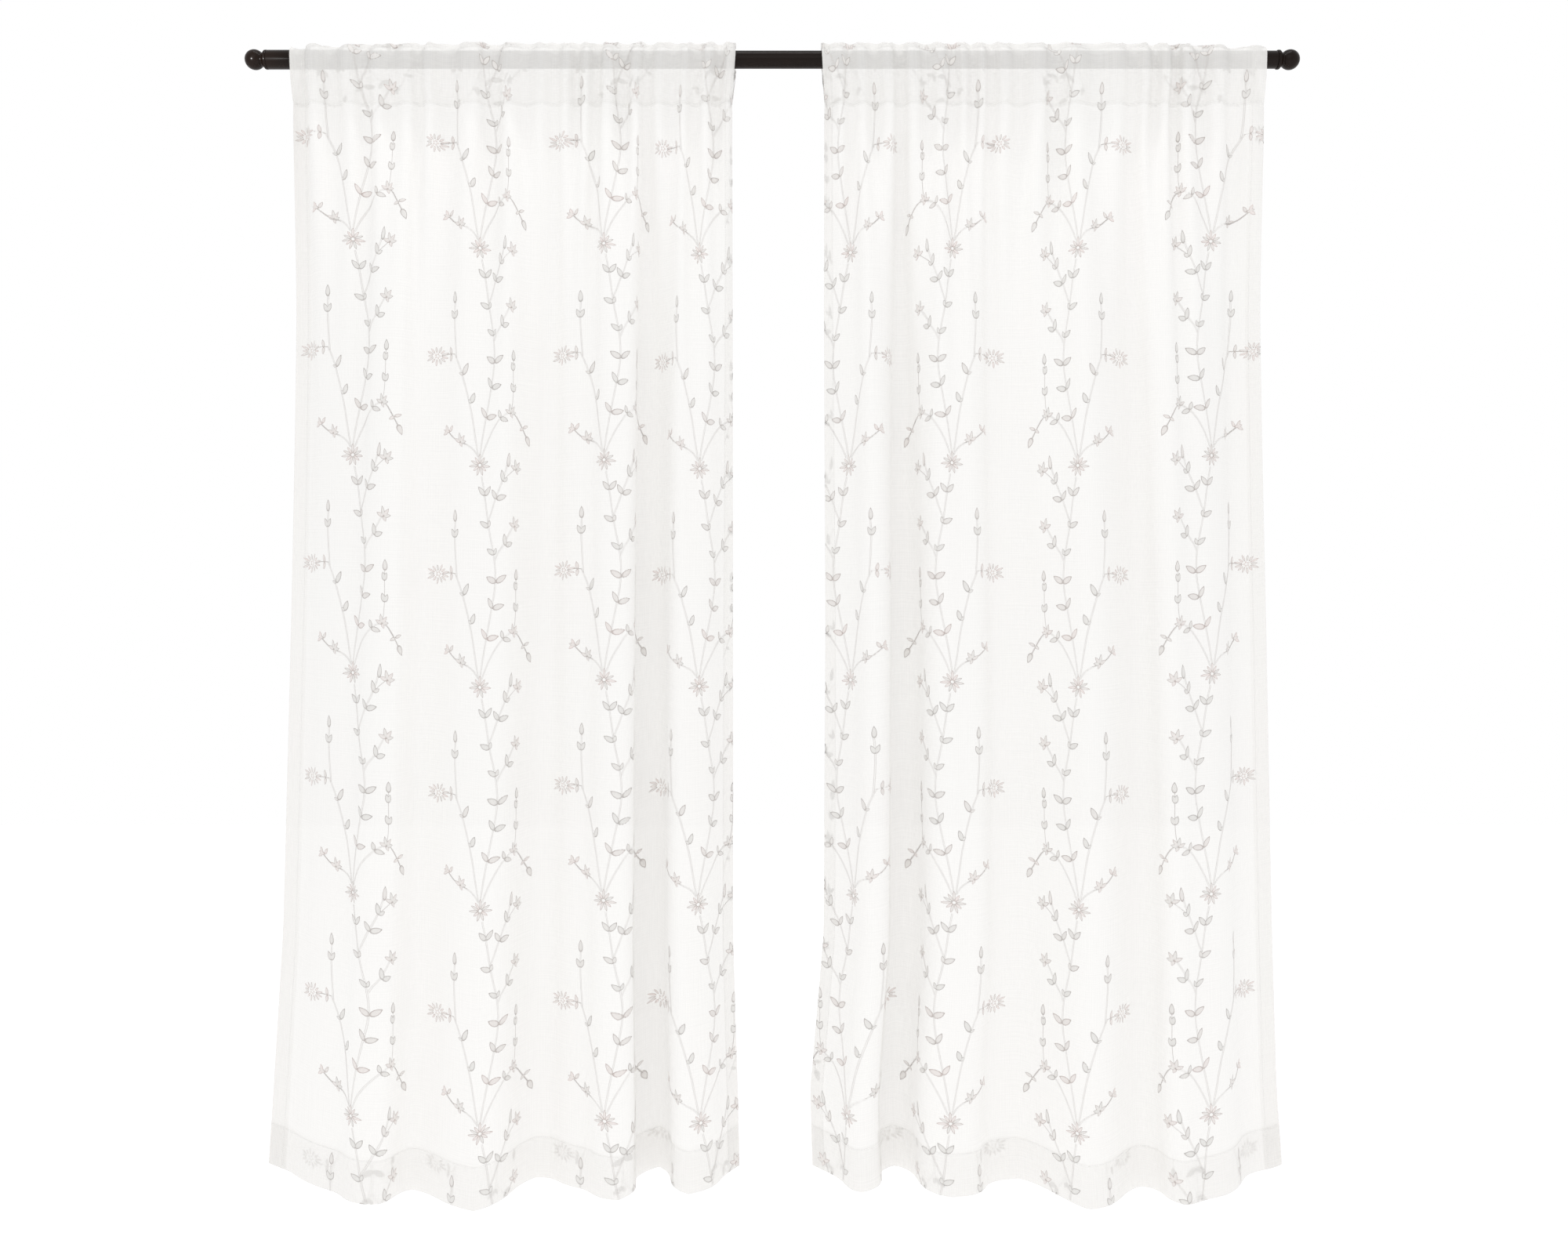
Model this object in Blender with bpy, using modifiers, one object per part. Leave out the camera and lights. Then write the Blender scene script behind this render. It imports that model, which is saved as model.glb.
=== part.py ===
# A pair of sheer voile curtain panels gathered on a telescoping rod with ball finials.
# Metres, +Z up. The origin is on the rod's axis at the middle of its length,
# the rod runs along X, and the panels' faces look along -Y.

import math

import bmesh
import bpy

# Rod: a wider tube on the left, and the tube that slides into it
ROD_HALF = 0.9195
WIDE_R = 0.0170
WIDE_END = -0.758
NARROW_R = 0.0157
NARROW_START = -0.880
WALL = 0.0010
ROD_SIDES = 24
FIT_GAP = 0.0003

# Finials, along their own axis from the tube's end
COLLAR_LENGTH = 0.0045
NECK_R = 0.0132
NECK_START = 0.0090
BALL_R = 0.0180
BALL_CENTRE = 0.0240
BALL_STEPS = 9
SPIGOT_LENGTH = 0.020

# Cloth
CUT_WIDTH = 1.270
CLOTH_THICKNESS = 0.0013
LAYER_STEP = 0.0030
HEM_DEPTH = 0.080
HEM_TURN = 0.078
BOTTOM_Z = -2.030
SEAM_Z = -0.082
STITCH_RISE = 0.0030
CORNER_LIFT = 0.011
CORNER_REACH = 0.020
HEADER_TOP = 0.035
HEADER_SCALLOP = 0.005
HEADER_CORNER = 0.014
POCKET_ANGLES = (0, 30, 60)
BODY_LEVELS = (-1.60, -1.15, -0.78, -0.48, -0.27, -0.15)
SUBSTEPS = 6

# Gathers: angles, in radians, through which the cloth swings to and fro
RUFFLES = 16
COLUMNS_PER_RUFFLE = 4
RUFFLE_SWING = 0.95
RUFFLE_DEPTH = 0.0095
RUFFLE_HOLD = 0.10
RUFFLE_FADE = 0.28
RUFFLE_LEFT = 0.05
PLEAT_AT_ROD = 0.15
PLEAT_SWING = 0.70
PLEAT_LEFT = 0.25
PLEAT_FADE = 0.60
FOLD_FADE = 0.45
BACK_SHIFT = 0.045

# Each panel from its left edge to its right edge.
# "edges" rows: height, left edge x, right edge x.
# "hem" rows, one for each turn of the hem: x, distance in front of the edges, drop.
# The side hems lift the bottom corners a little more than that.
PANELS = {
    "panel_left": {
        "edges": (
            (0.020, -0.871, -0.056),
            (-0.016, -0.871, -0.074),
            (-0.100, -0.874, -0.073),
            (-0.460, -0.876, -0.073),
            (-1.035, -0.891, -0.073),
            (-1.600, -0.907, -0.073),
            (-1.890, -0.925, -0.064),
            (-2.030, -0.934, -0.061),
        ),
        "hem": (
            (-0.934, 0.000, 0.000),
            (-0.697, 0.120, 0.017),
            (-0.650, 0.060, 0.013),
            (-0.529, 0.130, 0.029),
            (-0.435, 0.030, 0.006),
            (-0.272, 0.115, 0.011),
            (-0.209, 0.010, -0.010),
            (-0.149, 0.095, 0.008),
            (-0.061, 0.000, 0.004),
        ),
        "outer_side": -1,
        "lag": 0.15,
    },
    "panel_right": {
        "edges": (
            (0.020, 0.080, 0.893),
            (-0.016, 0.098, 0.894),
            (-0.100, 0.095, 0.897),
            (-0.460, 0.095, 0.898),
            (-1.035, 0.098, 0.914),
            (-1.600, 0.095, 0.926),
            (-1.890, 0.070, 0.935),
            (-2.030, 0.074, 0.945),
        ),
        "hem": (
            (0.074, 0.000, 0.003),
            (0.160, 0.095, 0.004),
            (0.226, 0.010, -0.009),
            (0.322, 0.115, 0.008),
            (0.450, 0.035, 0.002),
            (0.558, 0.130, 0.021),
            (0.668, 0.060, 0.009),
            (0.738, 0.120, 0.018),
            (0.945, 0.000, 0.002),
        ),
        "outer_side": 1,
        "lag": 0.62,
    },
}


def clear_scene():
    for old in list(bpy.data.objects):
        bpy.data.objects.remove(old, do_unlink=True)


def make_material(name, colour, roughness, metallic):
    material = bpy.data.materials.new(name)
    material.use_nodes = True
    shader = material.node_tree.nodes["Principled BSDF"]
    shader.inputs["Base Color"].default_value = (*colour, 1.0)
    shader.inputs["Roughness"].default_value = roughness
    shader.inputs["Metallic"].default_value = metallic
    return material


def file_away(piece, name, material, collection):
    piece.name = name
    piece.data.name = name
    piece.data.materials.clear()
    piece.data.materials.append(material)
    for old in list(piece.users_collection):
        old.objects.unlink(piece)
    collection.objects.link(piece)


def interpolate(rows, key):
    # rows of (key, values...), with the keys in falling or rising order
    rows = sorted(rows)
    key = min(max(key, rows[0][0]), rows[-1][0])
    for low, high in zip(rows, rows[1:]):
        if key <= high[0]:
            share = (key - low[0]) / (high[0] - low[0])
            return [a + (b - a) * share for a, b in zip(low[1:], high[1:])]
    return list(rows[-1][1:])


def make_tube(name, radius, start, end, material, collection):
    bpy.ops.mesh.primitive_cylinder_add(
        vertices=ROD_SIDES, radius=radius, depth=end - start, end_fill_type="NOTHING",
        location=((start + end) / 2, 0, 0), rotation=(0, math.pi / 2, 0))
    tube = bpy.context.object
    wall = tube.modifiers.new("wall", "SOLIDIFY")
    wall.thickness = WALL
    wall.offset = -1
    wall.use_even_offset = True
    tube.data.shade_smooth()
    tube.data.set_sharp_from_angle(angle=math.radians(40))
    file_away(tube, name, material, collection)


def make_finial(name, side, tube_r, material, collection):
    # The half outline runs from the ball's tip down to the end of the spigot in the tube.
    neck_angle = math.asin(NECK_R / BALL_R)
    outline = []
    for step in range(BALL_STEPS + 1):
        angle = (math.pi - neck_angle) * step / BALL_STEPS
        outline.append((BALL_R * math.sin(angle), BALL_CENTRE + BALL_R * math.cos(angle)))
    spigot_r = tube_r - WALL - FIT_GAP
    outline += [
        (NECK_R, NECK_START),
        ((NECK_R + WIDE_R) / 2, (NECK_START + COLLAR_LENGTH) / 2),
        (WIDE_R, COLLAR_LENGTH),
        (WIDE_R, FIT_GAP),
        (spigot_r, FIT_GAP),
        (spigot_r, -SPIGOT_LENGTH),
        (0.0, -SPIGOT_LENGTH),
    ]
    mesh = bpy.data.meshes.new(name)
    points = [(radius, 0.0, height) for radius, height in outline]
    mesh.from_pydata(points, [(i, i + 1) for i in range(len(points) - 1)], [])
    finial = bpy.data.objects.new(name, mesh)
    turn = finial.modifiers.new("turned", "SCREW")
    turn.axis = "Z"
    turn.angle = 2 * math.pi
    turn.steps = ROD_SIDES
    turn.render_steps = ROD_SIDES
    turn.use_merge_vertices = True
    turn.merge_threshold = 0.00005
    turn.use_smooth_shade = True
    finial.location = (side * ROD_HALF, 0, 0)
    finial.rotation_euler = (0, side * math.pi / 2, 0)
    collection.objects.link(finial)
    file_away(finial, name, material, collection)


def mean_progress(swing):
    # Cloth that swings by swing*sin() off the X direction goes this far across and deep.
    angles = [math.pi * (i + 0.5) / 24 for i in range(24)]
    across = sum(math.cos(swing * math.sin(a)) for a in angles) / len(angles)
    deep = sum(math.sin(swing * math.sin(a)) for a in angles) / len(angles)
    return across, deep


def half_fold(width, depth):
    # The swing that carries the cloth across a width and a depth, and its cloth length
    low, high = 0.0, 2.2
    for _ in range(40):
        swing = (low + high) / 2
        across, deep = mean_progress(swing)
        if deep / across < depth / width:
            low = swing
        else:
            high = swing
    return width / across, swing


def fold_plan(hem):
    # (start share, end share, signed swing) of each half fold across the cut width
    halves = []
    for (x0, front0, _), (x1, front1, _) in zip(hem, hem[1:]):
        length, swing = half_fold(x1 - x0, abs(front1 - front0))
        halves.append((length, swing if front1 < front0 else -swing))
    total = sum(length for length, _ in halves)
    plan = []
    start = 0.0
    for length, swing in halves:
        end = start + length / total
        plan.append((start, end, swing))
        start = end
    return plan


def column_share(phase, lag):
    # Where a point of the gathers lies across the cloth's width; the gathers are uneven.
    share = phase / RUFFLES
    wander = 0.55 * math.sin(2 * math.pi * (2.3 * share + lag)) * math.sin(math.pi * share)
    return share + wander / RUFFLES


def gather_angle(phase, share, z, plan, lag):
    # Direction of the cloth in plan at a height, from its folds, pleats and ruffles
    drop = max(0.0, SEAM_Z - z)
    fold_growth = 1 - math.exp(-drop / FOLD_FADE)
    angle = 0.0
    for start, end, swing in plan:
        if start <= share <= end:
            angle = swing * fold_growth * math.sin(math.pi * (share - start) / (end - start))
            break
    strength = 1 + 0.25 * math.sin(2 * math.pi * (3.1 * share + lag))
    ruffle = RUFFLE_LEFT + (RUFFLE_SWING - RUFFLE_LEFT) * math.exp(-drop / RUFFLE_FADE)
    pleat = PLEAT_LEFT + (PLEAT_SWING - PLEAT_LEFT) * math.exp(-drop / PLEAT_FADE)
    pleat = PLEAT_AT_ROD + (pleat - PLEAT_AT_ROD) * (1 - math.exp(-drop / RUFFLE_FADE))
    angle += strength * ruffle * math.cos(2 * math.pi * phase)
    angle += pleat * math.cos(math.pi * phase + 2 * math.pi * lag)
    wave = RUFFLE_DEPTH * strength * math.sin(2 * math.pi * phase)
    return angle, wave, fold_growth


def plumb_rows(hem, plan, shares, xs):
    # Threads hang plumb, so every fold keeps the share of the width that it has at the hem.
    rows = [(0.0, 0.0)]
    for (_, end, _), (x, _, _) in zip(plan, hem[1:]):
        here = interpolate(list(zip(shares, xs)), end)[0]
        rows.append((here, (x - hem[0][0]) / (hem[-1][0] - hem[0][0])))
    return rows


def plan_row(z, panel, plan):
    # x, y and direction of every column of the cloth at one height
    lag = panel["lag"]
    columns = RUFFLES * COLUMNS_PER_RUFFLE
    hold = math.exp(-max(0.0, SEAM_Z - z) / RUFFLE_HOLD)
    xs, ys, waves, angles, shares = [0.0], [0.0], [], [], []
    share = 0.0
    for step in range(columns * SUBSTEPS + 1):
        phase = step / (COLUMNS_PER_RUFFLE * SUBSTEPS)
        next_share = column_share(phase, lag)
        angle, wave, fold_growth = gather_angle(phase, next_share, z, plan, lag)
        if step:
            length = (next_share - share) * CUT_WIDTH
            middle = (angle + previous) / 2
            across += length * math.cos(middle)
            deep += length * math.sin(middle)
            if step % SUBSTEPS == 0:
                xs.append(across)
                ys.append(deep)
        else:
            across = deep = 0.0
        if step % SUBSTEPS == 0:
            angles.append(angle)
            waves.append(wave)
            shares.append(next_share)
        previous = angle
        share = next_share
    plumb = plumb_rows(panel["hem"], plan, shares, xs)
    left, right = interpolate(panel["edges"], z)
    row = []
    for x, y, wave, angle in zip(xs, ys, waves, angles):
        level = y - ys[-1] * x / xs[-1] + BACK_SHIFT * fold_growth
        reach = interpolate(plumb, x)[0]
        row.append((left + (right - left) * reach, level + (wave - level) * hold, angle))
    return row


def rod_radius(x):
    # The pocket keeps to the wider tube until it is past that tube's end.
    return WIDE_R if x < WIDE_END + 0.030 else NARROW_R


def header_height(x, wave, sway, panel):
    left, right = panel["edges"][0][1:]
    edge = right if panel["outer_side"] > 0 else left
    corner = math.exp(-abs(edge - x) / 0.08)
    return HEADER_TOP - HEADER_CORNER * corner - HEADER_SCALLOP * wave / sway


def cloth_column(k, rows, panel, sway):
    # One column of the cloth, from the turned-up hem over the rod to the heading's back
    def at(row, z, offset=0.0):
        x, y, angle = row[k]
        return (x - offset * math.sin(angle), y + offset * math.cos(angle), z)

    hem, hem_line, body, heading, rod_level = rows
    x, wave, angle = rod_level[k]
    hem_xs = [(turn[0], turn[2]) for turn in panel["hem"]]
    from_edge = min(hem[k][0] - hem[0][0], hem[-1][0] - hem[k][0])
    sag = CORNER_LIFT * (1 - math.exp(-from_edge / CORNER_REACH))
    bottom = BOTTOM_Z - interpolate(hem_xs, hem[k][0])[0] - sag
    column = [
        at(hem_line, bottom + HEM_TURN, LAYER_STEP),
        at(hem, bottom, LAYER_STEP),
        at(hem, bottom),
        at(hem_line, bottom + HEM_DEPTH),
    ]
    column += [at(row, z) for row, z in zip(body, BODY_LEVELS)]
    column.append(at(heading, SEAM_Z))
    cloth_r = (rod_radius(x) + FIT_GAP + CLOTH_THICKNESS / 2) / math.cos(math.radians(15))
    stitch_z = cloth_r + STITCH_RISE
    top_z = header_height(x, wave, sway, panel)
    bulge_front = sway - wave
    bulge_back = sway + wave
    for degrees in POCKET_ANGLES:
        turn = math.radians(degrees)
        reach = cloth_r + bulge_front * math.cos(turn)
        column.append((x, -reach * math.cos(turn), reach * math.sin(turn)))
    lean = math.sin(angle)
    for height, squeeze, offset in (
            (stitch_z, 0.7, 0.0), (top_z, 0.9, 0.0),
            (top_z, 0.9, LAYER_STEP), (stitch_z, 0.7, LAYER_STEP)):
        column.append((x - offset * lean, wave * squeeze + offset * math.cos(angle), height))
    for degrees in reversed(POCKET_ANGLES):
        turn = math.radians(degrees)
        reach = cloth_r + bulge_back * math.cos(turn)
        column.append((x - LAYER_STEP * lean, reach * math.cos(turn), reach * math.sin(turn)))
    column.append(at(heading, SEAM_Z, LAYER_STEP))
    return column


def make_panel(name, panel, material, collection):
    plan = fold_plan(panel["hem"])
    columns = RUFFLES * COLUMNS_PER_RUFFLE
    rod_level = plan_row(0.0, panel, plan)
    sway = max(abs(y) for _, y, _ in rod_level)
    rows = (
        plan_row(BOTTOM_Z, panel, plan),
        plan_row(BOTTOM_Z + HEM_DEPTH, panel, plan),
        [plan_row(z, panel, plan) for z in BODY_LEVELS],
        plan_row(SEAM_Z, panel, plan),
        rod_level,
    )
    points = [cloth_column(k, rows, panel, sway) for k in range(columns + 1)]
    heights = len(points[0])
    sheet = bmesh.new()
    bmesh.ops.create_grid(sheet, x_segments=columns, y_segments=heights - 1, size=0.5)
    for vertex in sheet.verts:
        column = round((vertex.co.x + 0.5) * columns)
        row = round((vertex.co.y + 0.5) * (heights - 1))
        vertex.co = points[column][row]
    mesh = bpy.data.meshes.new(name)
    sheet.to_mesh(mesh)
    sheet.free()
    mesh.shade_smooth()
    cloth = bpy.data.objects.new(name, mesh)
    thickness = cloth.modifiers.new("thickness", "SOLIDIFY")
    thickness.thickness = CLOTH_THICKNESS
    thickness.offset = 0
    collection.objects.link(cloth)
    file_away(cloth, name, material, collection)


def main():
    clear_scene()
    collection = bpy.data.collections.new("voile_curtain_pair")
    bpy.context.scene.collection.children.link(collection)
    bronze = make_material("dark_bronze_paint", (0.018, 0.013, 0.010), 0.38, 0.4)
    voile = make_material("white_voile", (0.93, 0.92, 0.90), 0.85, 0.0)
    make_tube("rod_wide", WIDE_R, -ROD_HALF, WIDE_END, bronze, collection)
    make_tube("rod_narrow", NARROW_R, NARROW_START, ROD_HALF, bronze, collection)
    make_finial("finial_left", -1, WIDE_R, bronze, collection)
    make_finial("finial_right", 1, NARROW_R, bronze, collection)
    for name, panel in PANELS.items():
        make_panel(name, panel, voile, collection)


main()
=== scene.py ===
import math

import bpy
import numpy as np
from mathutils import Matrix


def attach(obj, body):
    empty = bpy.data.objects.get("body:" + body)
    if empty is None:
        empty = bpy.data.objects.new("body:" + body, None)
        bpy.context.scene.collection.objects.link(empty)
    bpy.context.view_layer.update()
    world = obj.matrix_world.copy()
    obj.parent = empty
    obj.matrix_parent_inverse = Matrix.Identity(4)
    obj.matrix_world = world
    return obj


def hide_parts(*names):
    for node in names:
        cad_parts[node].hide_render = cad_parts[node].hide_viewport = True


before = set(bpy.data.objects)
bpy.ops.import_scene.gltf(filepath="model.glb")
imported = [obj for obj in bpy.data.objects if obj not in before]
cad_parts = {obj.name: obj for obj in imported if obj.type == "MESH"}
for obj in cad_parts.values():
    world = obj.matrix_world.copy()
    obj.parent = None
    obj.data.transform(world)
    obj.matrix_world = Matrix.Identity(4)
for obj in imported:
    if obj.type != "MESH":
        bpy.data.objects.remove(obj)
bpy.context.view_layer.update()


# A pair of embroidered voile panels on a rod. Metres, +Z up, the viewer looks along +Y.

view = {
    "place": (0.0214, -2.67, -1.035),
    "lens": 33.61,
}


def setCamera():
    bpy.ops.object.camera_add(location=view["place"], rotation=(math.pi / 2, 0, 0))
    camera = bpy.context.object
    camera.name = "photoCamera"
    camera.data.lens = view["lens"]
    camera.data.clip_end = 50
    bpy.context.scene.camera = camera


setCamera()
print("camera set")


class Wire:
    # one value in a material; sums written with it add Math nodes
    def __init__(self, tree, socket=None):
        self.tree = tree
        self.socket = socket

    def add(self, kind, settings=None, inputs=None, output=0):
        made = self.tree.nodes.new("ShaderNode" + kind)
        for name, value in (settings or {}).items():
            if name == "stops":
                stops = made.color_ramp.elements
                stops[0].position, stops[0].color = value[0][0], (*[value[0][1]] * 3, 1)
                stops[1].position, stops[1].color = value[1][0], (*[value[1][1]] * 3, 1)
            else:
                setattr(made, name, value)
        for name, value in (inputs or {}).items():
            if isinstance(value, Wire):
                self.tree.links.new(value.socket, made.inputs[name])
            else:
                made.inputs[name].default_value = value
        return Wire(self.tree, made.outputs[output])

    def sum(self, operation, first, second=0.0):
        return self.add("Math", {"operation": operation}, {0: first, 1: second})

    def __add__(self, other):
        return self.sum("ADD", self, other)

    def __sub__(self, other):
        return self.sum("SUBTRACT", self, other)

    def __rsub__(self, other):
        return self.sum("SUBTRACT", other, self)

    def __mul__(self, other):
        return self.sum("MULTIPLY", self, other)

    def between(self, low, high):
        return self.sum("MINIMUM", self.sum("MAXIMUM", self, low), high)

    def blend(self, factor, first, second):
        return self.add("Mix", {"data_type": "RGBA"}, {0: factor, 6: first, 7: second}, 2)

    def attribute(self, name):
        return self.add("Attribute", {"attribute_name": name}, None, 2)

    def cutPlace(self):
        return self.add("UVMap", {"uv_map": "cut"})

    def waves(self, vector, direction, scale, inputs=None):
        inputs = {"Vector": vector, "Scale": scale, **(inputs or {})}
        return self.add("TexWave", {"bands_direction": direction}, inputs, 1)

    def stretched(self, vector, scale):
        return self.add("Mapping", None, {"Vector": vector, "Scale": scale})

    def noise(self, vector, scale, detail=2.0):
        return self.add("TexNoise", None, {"Vector": vector, "Scale": scale, "Detail": detail})

    def bump(self, height, strength, distance):
        return self.add("Bump", None, {"Height": height, "Strength": strength, "Distance": distance})

    def into(self, shader, name):
        self.tree.links.new(self.socket, shader.inputs[name])


def newFinish(name, fixed):
    material = bpy.data.materials.new(name)
    material.use_nodes = True
    shader = material.node_tree.nodes["Principled BSDF"]
    for socket, value in fixed.items():
        shader.inputs[socket].default_value = value
    return material, shader, Wire(material.node_tree)


def waveScale(pitch):
    # the scale of a wave texture whose bands lie this far apart
    return 2 * math.pi / 20 / pitch


# cover is how much the cloth hides; the "Blend" numbers say how fast a tint or the painted shade comes in
voile = {
    "white": (0.942, 0.936, 0.914, 1),
    "warm": (0.942, 0.924, 0.906, 1),
    "overRod": (0.995, 0.922, 0.850, 1),
    "overRodBlend": -3.6,
    "patchScale": 3.0,
    # painted shade: the colour that the lower part and the doubled hem are darkened towards
    "paintedShade": (0.870, 0.850, 0.828, 1),
    "paintedShadeFrom": 1.1,
    "paintedShadeBlend": -0.32,
    "hemFrom": 1.885,
    "hemBlend": -60.0,
    "hemPaintedShade": 0.08,
    "cover": 0.77,
    "underCover": 0.32,
    "threadPitch": 0.0006,
    "weaveDepth": 0.05,
    "weaveHeight": 0.00006,
    "slubAlong": (900, 9, 1),
    "slubAcross": (9, 900, 1),
    "slubDepth": 0.10,
    "slubHeight": 0.00008,
    "puckerScale": (150, 14, 1),
    "puckerDepth": 0.0004,
    "puckerFadeAtSeam": 45.0,
    "puckerFadeAtFrill": 90.0,
}


def voileFinish():
    finish, shader, wire = newFinish("whiteVoile", {"Roughness": 0.88, "Sheen Weight": 0.08})
    cut = wire.cutPlace()
    scale = waveScale(voile["threadPitch"])
    weave = wire.waves(cut, "X", scale) * 0.5 + wire.waves(cut, "Y", scale) * 0.5
    slubAlong = wire.noise(wire.stretched(cut, voile["slubAlong"]), 1.0, 1.0)
    slubAcross = wire.noise(wire.stretched(cut, voile["slubAcross"]), 1.0, 1.0)
    slubs = slubAlong + slubAcross - 1.0
    under = wire.attribute("under")
    cover = slubs * voile["slubDepth"] + (weave - 0.5) * voile["weaveDepth"] + voile["cover"]
    (cover - under * voile["underCover"]).into(shader, "Alpha")
    patches = wire.noise(cut, voile["patchScale"])
    face = wire.blend(patches, voile["white"], voile["warm"])
    pocket = (under * voile["overRodBlend"]).between(0.0, 1.0)
    face = wire.blend(pocket, face, voile["overRod"])
    # painted shade: the lower part is painted a little darker, and the doubled hem more so
    place = wire.add("SeparateXYZ", None, {0: cut}, 1)
    lower = wire.sum("MAXIMUM", (place + voile["paintedShadeFrom"]) * voile["paintedShadeBlend"], 0.0)
    hem = ((place + voile["hemFrom"]) * voile["hemBlend"]).between(0.0, voile["hemPaintedShade"])
    wire.blend(lower + hem, face, voile["paintedShade"]).into(shader, "Base Color")
    # fine puckers fan out from the rows of stitches at the heading
    fromSeam = wire.sum("ABSOLUTE", place) * voile["puckerFadeAtSeam"]
    fromFrill = wire.sum("ABSOLUTE", place - stitchLine) * voile["puckerFadeAtFrill"]
    near = wire.sum("POWER", 0.5, fromSeam) + wire.sum("POWER", 0.5, fromFrill)
    pucker = wire.noise(wire.stretched(cut, voile["puckerScale"]), 1.0, 1.0) * near
    height = pucker * voile["puckerDepth"] + weave * voile["weaveHeight"] + slubs * voile["slubHeight"]
    wire.bump(height, 0.8, 1.0).into(shader, "Normal")
    return finish


thread = {
    "leaf": (0.860, 0.846, 0.822, 1),
    "flower": (0.910, 0.845, 0.822, 1),
    "leafLine": (0.310, 0.282, 0.262, 1),
    "flowerLine": (0.440, 0.325, 0.295, 1),
    "rimShare": 0.80,
    # painted shade in the grooves between the stitches
    "grooveShadeShare": 0.12,
    "lineHeight": 0.00015,
    "pitch": 0.0008,
}


def threadFinish():
    finish, shader, wire = newFinish("embroideryThread", {"Roughness": 0.5, "Sheen Weight": 0.15})
    tone = wire.attribute("tone")
    rim = wire.attribute("rim")
    lines = wire.waves(wire.cutPlace(), "X", waveScale(thread["pitch"]), {"Distortion": 1.5, "Detail": 1.0})
    colour = wire.blend(tone, thread["leaf"], thread["flower"])
    line = wire.blend(tone, thread["leafLine"], thread["flowerLine"])
    # the outline thread's colour on the rims, and painted shade in the grooves between the stitches
    outlineAndGrooveShade = rim * thread["rimShare"] + (1 - lines) * thread["grooveShadeShare"]
    wire.blend(outlineAndGrooveShade, colour, line).into(shader, "Base Color")
    wire.bump(lines * thread["lineHeight"], 0.7, 1.0).into(shader, "Normal")
    return finish


sewing = {
    "white": (0.950, 0.945, 0.930, 1),
    # painted shade in the grooves of the thread's twist
    "twistGrooveShade": (0.905, 0.900, 0.885, 1),
    "length": 0.0030,
    "pitch": 0.0042,
    "width": 0.0006,
    "height": 0.0003,
    "twistScale": 700.0,
    "twistHeight": 0.0001,
    "seamInset": 0.0255,
    "backRow": -0.004,
    "hemRise": 0.003,
    "endGap": 0.004,
    "frillGap": 0.006,
}


def sewingFinish():
    finish, shader, wire = newFinish("sewingThread", {"Roughness": 0.6, "Sheen Weight": 0.1})
    twist = wire.waves(wire.cutPlace(), "DIAGONAL", sewing["twistScale"])
    # the twist's grooves are painted grey as shade
    wire.blend(twist, sewing["twistGrooveShade"], sewing["white"]).into(shader, "Base Color")
    wire.bump(twist * sewing["twistHeight"], 0.6, 1.0).into(shader, "Normal")
    return finish


paint = {
    "deep": (0.0062, 0.0032, 0.0021, 1),
    "brown": (0.0115, 0.0062, 0.0042, 1),
    "worn": (0.034, 0.022, 0.016, 1),
    "roughness": 0.15,
    "cloudyRoughness": 0.12,
    "speckleRoughness": 0.06,
    "cloudyHeight": 0.0001,
    "speckleHeight": 0.000015,
    "cloudyScale": (6, 40, 40),
    "speckleScale": 900.0,
    "scuffScale": (60, 300, 300),
    "scuffed": ((0.66, 0.0), (0.78, 1.0)),
    "scuffShare": 0.5,
}


def rodFinish():
    finish, shader, wire = newFinish("darkBronzePaint", {"Specular IOR Level": 0.14})
    place = wire.add("TexCoord", None, None, 3)
    cloudy = wire.noise(wire.stretched(place, paint["cloudyScale"]), 1.0, 3.0)
    speckle = wire.noise(place, paint["speckleScale"])
    scuffs = wire.add("ValToRGB", {"stops": paint["scuffed"]},
                      {0: wire.noise(wire.stretched(place, paint["scuffScale"]), 1.0, 4.0)})
    colour = wire.blend(cloudy, paint["deep"], paint["brown"])
    wire.blend(scuffs * paint["scuffShare"], colour, paint["worn"]).into(shader, "Base Color")
    rough = cloudy * paint["cloudyRoughness"] + speckle * paint["speckleRoughness"] + paint["roughness"]
    rough.into(shader, "Roughness")
    height = speckle * paint["speckleHeight"] + cloudy * paint["cloudyHeight"]
    wire.bump(height, 0.6, 1.0).into(shader, "Normal")
    return finish


# the rod: a wider tube at the left that the narrower one slides into
rod = {
    "half": 0.9195,
    "wideRadius": 0.0170,
    "wideEnd": -0.758,
    "narrowRadius": 0.0157,
    "narrowStart": -0.880,
    "wall": 0.0010,
    "rim": 0.0004,
    "sides": 64,
    "spigotGap": 0.0013,
    "smoothDegrees": 50,
}


def pickNone():
    if bpy.context.object and bpy.context.object.mode == "EDIT":
        bpy.ops.object.mode_set(mode="OBJECT")
    bpy.ops.object.select_all(action="DESELECT")


def pick(mesh, parts, chosen):
    # a new primitive is selected all over, so all of it is deselected first
    for group in (mesh.polygons, mesh.edges, mesh.vertices):
        group.foreach_set("select", [False] * len(group))
    for part in parts:
        part.select = chosen(part)


def settle(piece, name, finish):
    piece.name = name
    piece.data.name = name
    pickNone()
    piece.select_set(True)
    bpy.context.view_layer.objects.active = piece
    bpy.ops.object.transform_apply(location=True, rotation=True, scale=True)
    piece.data.materials.clear()
    piece.data.materials.append(finish)


def stitchIn(piece, node):
    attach(piece, "root")
    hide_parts(node)


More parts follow.
